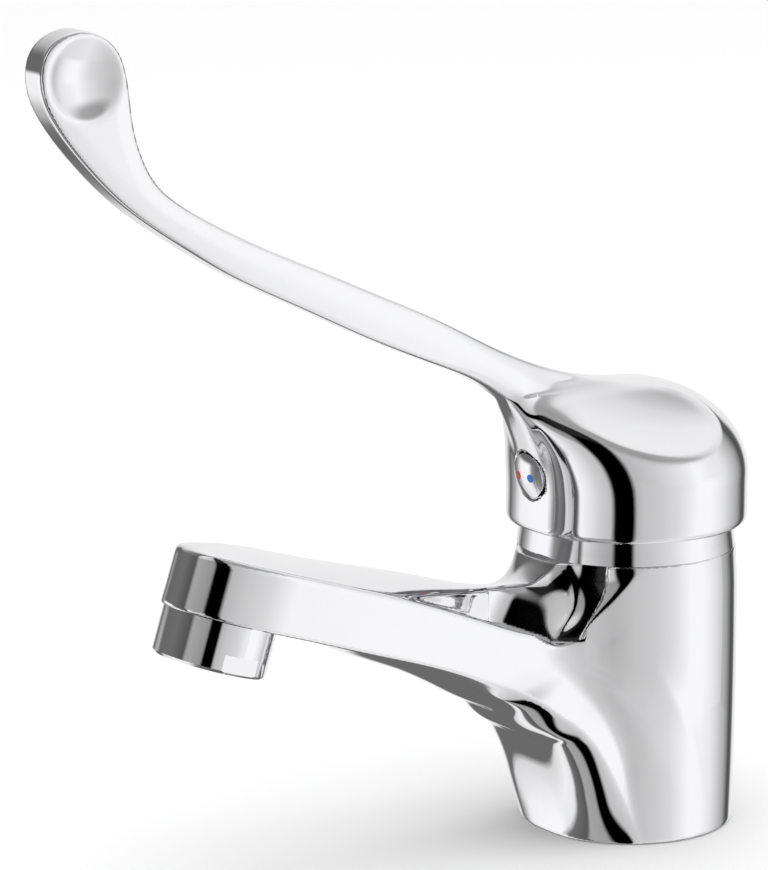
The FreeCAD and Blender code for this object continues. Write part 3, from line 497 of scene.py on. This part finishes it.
# Height, and how far the cap's front stands out there, where it draws out into the lever
FRONT = ([73, 84.5, 88.6, 92.4, 95.0, 98.5, 101.3, 104.0, 106.7, 112],
         [28.5, 28.5, 29.0, 29.8, 30.8, 32.4, 33.8, 34.6, 34.0, 34.0])
LEVER_HALF, LEVER_END_Y, LEVER_FOOT = 4.4, 8, 78


def dome_field(x, y, z, radius, spring, rise):
    """A round skirt that turns into half an ellipse above the spring line, over its own slope."""
    out = np.hypot(x, y)
    up = np.maximum(z - spring, 0)
    q = np.sqrt((out / radius) ** 2 + (up / rise) ** 2)
    return q * (q - 1) / np.maximum(np.sqrt((out / radius ** 2) ** 2 + (up / rise ** 2) ** 2), 1e-3)


def cap_field(x, y, z):
    """The dome, with y in its front half shrunk by the dome's radius over the front at that height."""
    radius = CAP_R * np.sqrt(np.clip(1 - (np.maximum(z - CAP_SPRING, 0) / CAP_RISE) ** 2, 0.0025, 1))
    front = spline(*FRONT, np.clip(z, FRONT[0][0], FRONT[0][-1]))
    dome = dome_field(x, np.where(y < 0, y * radius / front, y), z, CAP_R, CAP_SPRING, CAP_RISE)
    return soft_max(dome, -y - front, 3.0)


def lever_field(x, y, z):
    """The higher of the outline's distance and the blade's half width, its corners softer near the cap."""
    _, off = OUTLINE.seek(y, z)
    near_face = np.abs(x) - LEVER_HALF + 0.35 * ease(off, -4.5, 0)
    bulk = soft_max(off, near_face, 1.6 + 2.4 * ease(y, -60, -36))
    return np.maximum(np.maximum(bulk, y - LEVER_END_Y), LEVER_FOOT - z)


print("cap", 2 * CAP_R, "mm across, lever", 2 * LEVER_HALF, "mm thick")

# %% [markdown]
# ## Scoops, dish and button seat
#
# The lever's wide faces run back onto the cap as two shallow scoops. Large balls would cut them, but a
# ball's edge is a circle, and the photo's is drawn out along the lever. So the floor is a gentle bowl
# that twists into the lever's upright face. A ball does make the thumb dish in the head, and a short
# tilted cylinder the seat of the index button.

# %% Scoop, dish and seat
# The scoop's floor as a gentle bowl: height at its middle, two slopes, then the three bends
SCOOP_MIDDLE = (15.0, -5.0)
SCOOP_BOWL = (98.1, -0.66, 0.045, 0.022, -0.0096, 0.0087)
LEVER_FACE = 4.0
HEAD_Y, HEAD_Z = -147.0, 188.6
DISH_R, DISH_DEPTH = 8.8, 2.5
DISH_BALL = (DISH_R ** 2 + DISH_DEPTH ** 2) / (2 * DISH_DEPTH)
BUTTON_Z, BUTTON_TILT, BUTTON_R, BUTTON_DEEP = 86.75, math.radians(7), 5.7, 1.75


def scoop_field(x, y, z):
    """Height over a floor of second order in x and y, mixed by share into the lever's near face."""
    dx, dy = x - SCOOP_MIDDLE[0], y - SCOOP_MIDDLE[1]
    level, fall, lean, across, twist, along = SCOOP_BOWL
    floor = level + fall * dx + lean * dy + across * dx ** 2 + twist * dx * dy + along * dy ** 2
    share = ease(-y, 20, 44)
    return 0.82 * (z - floor) * (1 - share) + (x - LEVER_FACE) * share


def dish_field(x, y, z):
    """The distance from a ball's middle, set so that the ball dips into the head by the dish's depth."""
    middle = LEVER_FACE - DISH_DEPTH + DISH_BALL
    return np.sqrt((x - middle) ** 2 + (y - HEAD_Y) ** 2 + (z - HEAD_Z) ** 2) - DISH_BALL


def seat_field(x, y, z):
    """Positive in a short cylinder that leans with the cap's front: the lower of its round and its depth."""
    out = -(y + CAP_R) * math.cos(BUTTON_TILT) - (z - BUTTON_Z) * math.sin(BUTTON_TILT)
    lift = -(y + CAP_R) * -math.sin(BUTTON_TILT) + (z - BUTTON_Z) * math.cos(BUTTON_TILT)
    return np.minimum(BUTTON_R - np.hypot(x, lift), out + BUTTON_DEEP)


print("dish ball", round(DISH_BALL, 1), "mm in radius")

# %% The handle
# Inside the cap: the hollow's radius, spring line and rise, and the boss round the stem
HOLLOW_R, HOLLOW_SPRING, HOLLOW_RISE = 26.7, 82.0, 15.6
BOSS_R, BOSS_Z = 8.0, 82


def handle_field(x, y, z):
    """Cap and lever run together, scooped, dished, hollow below, with a seat for the index button."""
    near_x = np.abs(x)
    f = soft_max(cap_field(x, y, z), CAP_FOOT - z, 3.0)
    f = soft_min(f, lever_field(x, y, z), 4.0)
    _, crest = CREST.seek(near_x, y)
    join = 0.9 + 5.0 * ease(-y, 22, 34) + 2.6 * ease(y, 8, 12)
    scooped = soft_min(scoop_field(near_x, y, z), -crest, join)
    f = soft_max(f, scooped, 1.8 + 1.2 * ease(-y, 20, 40))
    f = soft_max(f, -dish_field(near_x, y, z), 1.2)
    boss = hole(x, y, BOSS_R, 0, 0) * ease(z, BOSS_Z, BOSS_Z + 0.2)
    hollow = np.maximum(dome_field(x, y, z, HOLLOW_R, HOLLOW_SPRING, HOLLOW_RISE), boss)
    return soft_max(np.maximum(f, -hollow), seat_field(x, y, z), 0.5)


HANDLE_LOW, HANDLE_HIGH, HANDLE_CELL = (-30, -159.5, 71.8), (30, 30, 200.5), 0.64
handle = field_piece("handle_cast", handle_field, HANDLE_LOW, HANDLE_HIGH, HANDLE_CELL, "lever", "handle")

# %% [markdown]
# ## Chrome
#
# Polished chrome is nearly all reflection. A real plated casting still has a faint waviness left by
# the polishing wheel and a touch of haze that comes and goes, so both are in the material. They are
# read from the object's own coordinates, so they stay on the metal when the lever moves.

# %% Node helpers
def fresh_material(name, metal):
    """A new material, its node tree and its shader, metal or not."""
    material = bpy.data.materials.new(name)
    material.use_nodes = True
    shader = material.node_tree.nodes["Principled BSDF"]
    shader.inputs["Metallic"].default_value = metal
    return material, material.node_tree, shader


def noise(tree, place, scale, detail):
    """Soft blotches from 0 to 1: scale is how many there are to a metre, detail adds finer ones."""
    node = tree.nodes.new("ShaderNodeTexNoise")
    node.inputs["Scale"].default_value = scale
    node.inputs["Detail"].default_value = detail
    tree.links.new(place, node.inputs["Vector"])
    return node.outputs["Fac"]


def set_tone(tree, shader, factor, first, last):
    """The shader's colour: first where the factor is 0, last where it is 1, mixed between."""
    node = tree.nodes.new("ShaderNodeMix")
    node.data_type = "RGBA"
    node.inputs["A"].default_value = (*first, 1)
    node.inputs["B"].default_value = (*last, 1)
    tree.links.new(factor, node.inputs["Factor"])
    tree.links.new(node.outputs["Result"], shader.inputs["Base Color"])


def set_roughness(tree, shader, factor, low, high):
    """The shader's roughness: low plus the factor times high less low."""
    node = tree.nodes.new("ShaderNodeMapRange")
    node.inputs["To Min"].default_value = low
    node.inputs["To Max"].default_value = high
    tree.links.new(factor, node.inputs["Value"])
    tree.links.new(node.outputs["Result"], shader.inputs["Roughness"])


def set_bump(tree, shader, height, strength, depth):
    """The shader's normal, leaned by the slope of a height; the depth is in millimetres."""
    node = tree.nodes.new("ShaderNodeBump")
    node.inputs["Strength"].default_value = strength
    node.inputs["Distance"].default_value = depth * MM
    tree.links.new(height, node.inputs["Height"])
    tree.links.new(node.outputs["Normal"], shader.inputs["Normal"])


# %% Chrome material
CHROME_TINT, CHROME_WORN = (0.945, 0.945, 0.955), (0.97, 0.97, 0.98)
CHROME_ROUGH, CHROME_SCALE, CHROME_WAVE = 0.045, 60.0, 0.012


def chrome():
    """Metal with slow waviness, and a haze whose noise is three times as fine."""
    material, tree, shader = fresh_material("chrome", 1.0)
    place = tree.nodes.new("ShaderNodeTexCoord").outputs["Object"]
    haze = noise(tree, place, CHROME_SCALE * 3, 4)
    worn = [tint * share for tint, share in zip(CHROME_TINT, CHROME_WORN)]
    set_tone(tree, shader, haze, CHROME_TINT, worn)
    set_roughness(tree, shader, haze, CHROME_ROUGH * 0.6, CHROME_ROUGH * 1.5)
    set_bump(tree, shader, noise(tree, place, CHROME_SCALE, 1), 0.35, CHROME_WAVE)
    return material


def finish_with(obj, material):
    """Give a piece one material."""
    obj.data.materials.clear()
    obj.data.materials.append(material)


CHROME = chrome()
finish_with(body, CHROME)
finish_with(handle, CHROME)
for node in ("cover_ring", "aerator_housing", "index_cap"):
    finish_with(NODES[node], CHROME)
print("chrome on", body.name, handle.name, "and three turned pieces")

# %% [markdown]
# ## The pieces inside
#
# A tap's inner pieces are moulded plastic, pressed rubber, lapped ceramic and turned brass or steel.
# Moulded and pressed pieces get an uneven tone and a fine grain; turned ones get the rings that the
# tool leaves round the axis. The two marks in the button are enamel, thicker in some places. One
# function makes them all, because only the numbers differ.

# %% Moulded, pressed and turned finishes
def turned_rings(tree, place, rings):
    """Rings about the upright axis, as a lathe tool leaves them, slightly uneven."""
    node = tree.nodes.new("ShaderNodeTexWave")
    node.wave_type = "RINGS"
    node.rings_direction = "Z"
    node.inputs["Scale"].default_value = rings
    node.inputs["Distortion"].default_value = 0.6
    tree.links.new(place, node.inputs["Vector"])
    return node.outputs["Fac"]


def made(name, light, dark, rough, scale, grain, metal=0.0, rings=0.0):
    """Tone and roughness from slow noise; height from rings, or from noise twelve times as fine."""
    material, tree, shader = fresh_material(name, metal)
    place = tree.nodes.new("ShaderNodeTexCoord").outputs["Object"]
    slow = noise(tree, place, scale, 5)
    set_tone(tree, shader, slow, dark, light)
    set_roughness(tree, shader, slow, rough * 0.75, rough * 1.3)
    fine = turned_rings(tree, place, rings) if rings else noise(tree, place, scale * 12, 2)
    set_bump(tree, shader, fine, 0.5, grain)
    return material


INNER = {
    "brass": made("brass", (0.80, 0.63, 0.34), (0.66, 0.49, 0.24), 0.24, 150, 0.01, 1.0, 900),
    "steel": made("steel", (0.66, 0.66, 0.67), (0.52, 0.52, 0.54), 0.28, 200, 0.008, 1.0, 1200),
    "cart_plastic": made("cart_plastic", (0.90, 0.90, 0.87), (0.80, 0.80, 0.77), 0.38, 120, 0.01),
    "grey_plastic": made("grey_plastic", (0.48, 0.49, 0.51), (0.36, 0.37, 0.39), 0.45, 140, 0.02),
    "ceramic": made("ceramic", (0.93, 0.92, 0.88), (0.86, 0.84, 0.79), 0.16, 260, 0.003),
    "seal_rubber": made("seal_rubber", (0.065, 0.065, 0.065), (0.03, 0.03, 0.032), 0.7, 160, 0.03),
    "blue": made("blue", (0.03, 0.22, 0.62), (0.01, 0.12, 0.45), 0.2, 500, 0.01),
    "red": made("red", (0.72, 0.05, 0.04), (0.52, 0.02, 0.02), 0.2, 500, 0.01),
}
WEARS = {
    "brass": ("ring_nut", "stem"),
    "steel": ("pivot_pin", "set_screw"),
    "cart_plastic": ("aerator_diffuser", "cartridge_base", "cartridge_housing", "disc_carrier"),
    "grey_plastic": ("aerator_core", "turret"),
    "ceramic": ("fixed_disc", "moving_disc"),
    "seal_rubber": ("grip_ring", "base_seal", "aerator_washer", "inlet_seals", "housing_seal"),
    "blue": ("blue_mark",),
    "red": ("red_mark", "limit_ring"),
}
for finish, pieces in WEARS.items():
    for node in pieces:
        finish_with(NODES[node], INNER[finish])
print("finished inside", sum(len(pieces) for pieces in WEARS.values()))

# %% [markdown]
# ## Camera
#
# The photo was taken from beside the tap, somewhat to the front and a little above. A camera one metre
# away, fitted to the outlines, gives the same slight narrowing towards the back. Its lens follows from
# the picture's height and the fitted focal length, both in pixels, and its place is given along its
# own axes.

# %% Camera
AZ, EL = math.radians(55.97), math.radians(12.65)
FOCAL_PX, PICTURE_PX, SENSOR = 4170, 870, 36
RIGHT = np.array([math.cos(AZ), math.sin(AZ), 0])
BACK = np.array([math.sin(AZ) * math.cos(EL), -math.cos(AZ) * math.cos(EL), math.sin(EL)])
UP = np.cross(BACK, RIGHT)
EYE = RIGHT * -57.1 + UP * 90.56 + BACK * 1000
camera_data = bpy.data.cameras.new("camera")
camera_data.lens = SENSOR * FOCAL_PX / PICTURE_PX
camera_data.sensor_width = SENSOR
camera = bpy.data.objects.new("camera", camera_data)
camera.location = Vector(EYE * MM)
camera.rotation_euler = Vector(-BACK).to_track_quat("-Z", "Y").to_euler()
bpy.context.scene.collection.objects.link(camera)
bpy.context.scene.camera = camera
print("lens", round(camera_data.lens, 1), "mm")

# %% [markdown]
# ## Light tent
#
# Chrome shows the room it stands in, and product photos are taken in a tent of bright cloth, with a
# dark slot where the camera looks in and darker seams to the sides and behind. Lamps and boards could
# be placed one by one, but one glowing ball, whose brightness goes by the turn round the tap at four
# heights, is easier to match with the photo. Only reflections see it.

# %% Tent brightness
TENT_R = 3.0
# Turn from the camera's side in degrees (right is positive), brightness: low, level, middle and high
TENT_LOW = [(-180, 0.15), (-138, 0.15), (-132, 0.72), (-112, 0.92), (-92, 0.85), (-82, 0.16), (-55, 0.10),
            (-47, 0.40), (-20, 0.35), (-14, 0.0), (3, 0.0), (8, 0.55), (60, 0.85), (110, 0.75),
            (150, 0.18), (180, 0.15)]
TENT_LEVEL = [(-180, 0.90), (-160, 0.75), (-146, 0.12), (-132, 0.42), (-120, 0.92), (-106, 1.0), (-92, 1.0),
              (-84, 0.28), (-70, 0.13), (-55, 0.09), (-51, 0.09), (-48, 0.98), (-40, 0.86), (-28, 0.66),
              (-18, 0.55), (-14, 0.0), (3, 0.0), (7, 0.50), (14, 0.58), (30, 0.64), (46, 0.74), (58, 0.88),
              (68, 1.0), (84, 1.0), (100, 0.84), (115, 0.58), (125, 0.42), (137, 0.08), (145, 0.12),
              (152, 0.85), (180, 0.90)]
TENT_MIDDLE = [(-180, 0.90), (-158, 0.60), (-146, 0.12), (-120, 0.14), (-84, 0.16), (-55, 0.09), (-48, 0.40),
               (-28, 0.34), (-18, 0.30), (-14, 0.0), (3, 0.0), (7, 0.50), (30, 0.64), (58, 0.88), (68, 1.0),
               (84, 0.9), (100, 0.84), (125, 0.42), (137, 0.08), (145, 0.12), (152, 0.85), (180, 0.90)]
TENT_HIGH = [(-180, 0.92), (-140, 0.60), (-110, 0.30), (-84, 0.20), (-55, 0.12), (-48, 0.80), (-18, 0.55),
             (-14, 0.02), (3, 0.02), (8, 0.36), (40, 0.34), (75, 0.42), (105, 0.75), (135, 0.88), (180, 0.92)]
print("tent stops", len(TENT_LOW), len(TENT_LEVEL), len(TENT_MIDDLE), len(TENT_HIGH))

# %% Tent material
def band(tree, turn, stops):
    """Brightness by the turn: straight lines between the stops, over one full turn."""
    ramp = tree.nodes.new("ShaderNodeValToRGB")
    cells = ramp.color_ramp.elements
    for i, (angle, light) in enumerate(stops):
        cell = cells[i] if i < 2 else cells.new((angle + 180) / 360)
        cell.position = (angle + 180) / 360
        cell.color = (light, light, light, 1)
    tree.links.new(turn, ramp.inputs["Fac"])
    return ramp.outputs["Color"]


def above(tree, height, under, over, start, end):
    """Under below the first angle of height, over above the second, a smooth S between."""
    rise = tree.nodes.new("ShaderNodeMapRange")
    rise.interpolation_type = "SMOOTHSTEP"
    rise.inputs["From Min"].default_value = TENT_R * math.sin(math.radians(start))
    rise.inputs["From Max"].default_value = TENT_R * math.sin(math.radians(end))
    tree.links.new(height, rise.inputs["Value"])
    blend = tree.nodes.new("ShaderNodeMix")
    blend.data_type = "RGBA"
    tree.links.new(rise.outputs["Result"], blend.inputs["Factor"])
    tree.links.new(under, blend.inputs["A"])
    tree.links.new(over, blend.inputs["B"])
    return blend.outputs["Result"]


def tent_material():
    """A glow: the turn is the arc tangent of the tent's own y over x, shared out from 0 to 1."""
    material = bpy.data.materials.new("tent")
    material.use_nodes = True
    tree = material.node_tree
    tree.nodes.clear()
    split = tree.nodes.new("ShaderNodeSeparateXYZ")
    tree.links.new(tree.nodes.new("ShaderNodeTexCoord").outputs["Object"], split.inputs[0])
    angle = tree.nodes.new("ShaderNodeMath")
    angle.operation = "ARCTAN2"
    tree.links.new(split.outputs["Y"], angle.inputs[0])
    tree.links.new(split.outputs["X"], angle.inputs[1])
    unit = tree.nodes.new("ShaderNodeMapRange")
    unit.inputs["From Min"].default_value = -math.pi
    unit.inputs["From Max"].default_value = math.pi
    tree.links.new(angle.outputs[0], unit.inputs["Value"])
    low, level, middle, high = (band(tree, unit.outputs["Result"], stops)
                                for stops in (TENT_LOW, TENT_LEVEL, TENT_MIDDLE, TENT_HIGH))
    colour = above(tree, split.outputs["Z"], low, level, -30, -23)
    colour = above(tree, split.outputs["Z"], colour, middle, -2, 4)
    colour = above(tree, split.outputs["Z"], colour, high, 22, 38)
    glow = tree.nodes.new("ShaderNodeEmission")
    tree.links.new(colour, glow.inputs["Color"])
    tree.links.new(glow.outputs[0], tree.nodes.new("ShaderNodeOutputMaterial").inputs["Surface"])
    return material


# %% Tent
def grid_mesh(name, across, along, place):
    """A mesh of squares over two parameters; place(u, v) gives the points."""
    u, v = np.meshgrid(np.linspace(0, 1, across), np.linspace(0, 1, along), indexing="ij")
    points = place(u, v).reshape(-1, 3)
    n = np.arange(across * along).reshape(across, along)
    quads = np.stack([n[:-1, :-1], n[1:, :-1], n[1:, 1:], n[:-1, 1:]], -1).reshape(-1, 4)
    mesh = bpy.data.meshes.new(name)
    mesh.from_pydata(points.tolist(), [], quads.tolist())
    piece = bpy.data.objects.new(name, mesh)
    bpy.context.scene.collection.objects.link(piece)
    return piece


def tent_place(u, v):
    """A ball of cloth: cosines and sines of the turn u and the height v, just open at both poles."""
    a, b = 2 * math.pi * u, math.pi * (v - 0.5) * 0.999
    return TENT_R * np.stack([np.cos(a) * np.cos(b), np.sin(a) * np.cos(b), np.sin(b)], -1)


tent = grid_mesh("tent", 97, 49, tent_place)
tent.data.materials.append(tent_material())
# The tent's own x points back at the camera, and y to the picture's right.
tent.rotation_euler = (0, 0, math.atan2(BACK[1], BACK[0]))
for ray in ("camera", "diffuse", "transmission", "volume_scatter", "shadow"):
    setattr(tent, "visible_" + ray, False)
print("tent", 2 * TENT_R, "m across, seen by reflections alone")

# %% [markdown]
# ## Floor and light
#
# The photo's ground is plain white. A wide sheet of pale paper keeps the tap's soft shadow, which ties
# it to the ground, and the white world lights it evenly. One large lamp overhead gives the shadow a
# direction. The paper is hidden from reflections, because the tent already stands for the room.

# %% Floor and light
FLOOR_SIDE, FLOOR_Z, PAPER = 12, -0.0002, 0.93


def floor_place(u, v):
    """A wide flat square, a fifth of a millimetre under the foot."""
    return np.stack([(u - 0.5) * FLOOR_SIDE, (v - 0.5) * FLOOR_SIDE, 0 * u + FLOOR_Z], -1)


floor = grid_mesh("floor", 2, 2, floor_place)
paper = bpy.data.materials.new("paper")
paper.use_nodes = True
paper.node_tree.nodes["Principled BSDF"].inputs["Base Color"].default_value = (PAPER, PAPER, PAPER, 1)
paper.node_tree.nodes["Principled BSDF"].inputs["Roughness"].default_value = 0.9
floor.data.materials.append(paper)
floor.visible_glossy = False

world = bpy.data.worlds.new("studio")
world.use_nodes = True
bpy.context.scene.world = world
world.node_tree.nodes["Background"].inputs["Color"].default_value = (1, 1, 1, 1)
world.node_tree.nodes["Background"].inputs["Strength"].default_value = 1.0

LAMP_PLACE, LAMP_AIM, LAMP_SIDE, LAMP_POWER = (0.3, -0.2, 1.6), (0, -0.05, 0.08), 1.2, 6
lamp_data = bpy.data.lights.new("lamp_over", "AREA")
lamp_data.size = LAMP_SIDE
lamp_data.energy = LAMP_POWER
lamp = bpy.data.objects.new("lamp_over", lamp_data)
lamp.location = LAMP_PLACE
lamp.rotation_euler = (Vector(LAMP_AIM) - Vector(LAMP_PLACE)).to_track_quat("-Z", "Y").to_euler()
lamp.visible_glossy = False
bpy.context.scene.collection.objects.link(lamp)
bpy.context.scene.view_settings.view_transform = "Standard"
print("floor", FLOOR_SIDE, "m, lamp", LAMP_POWER, "W")
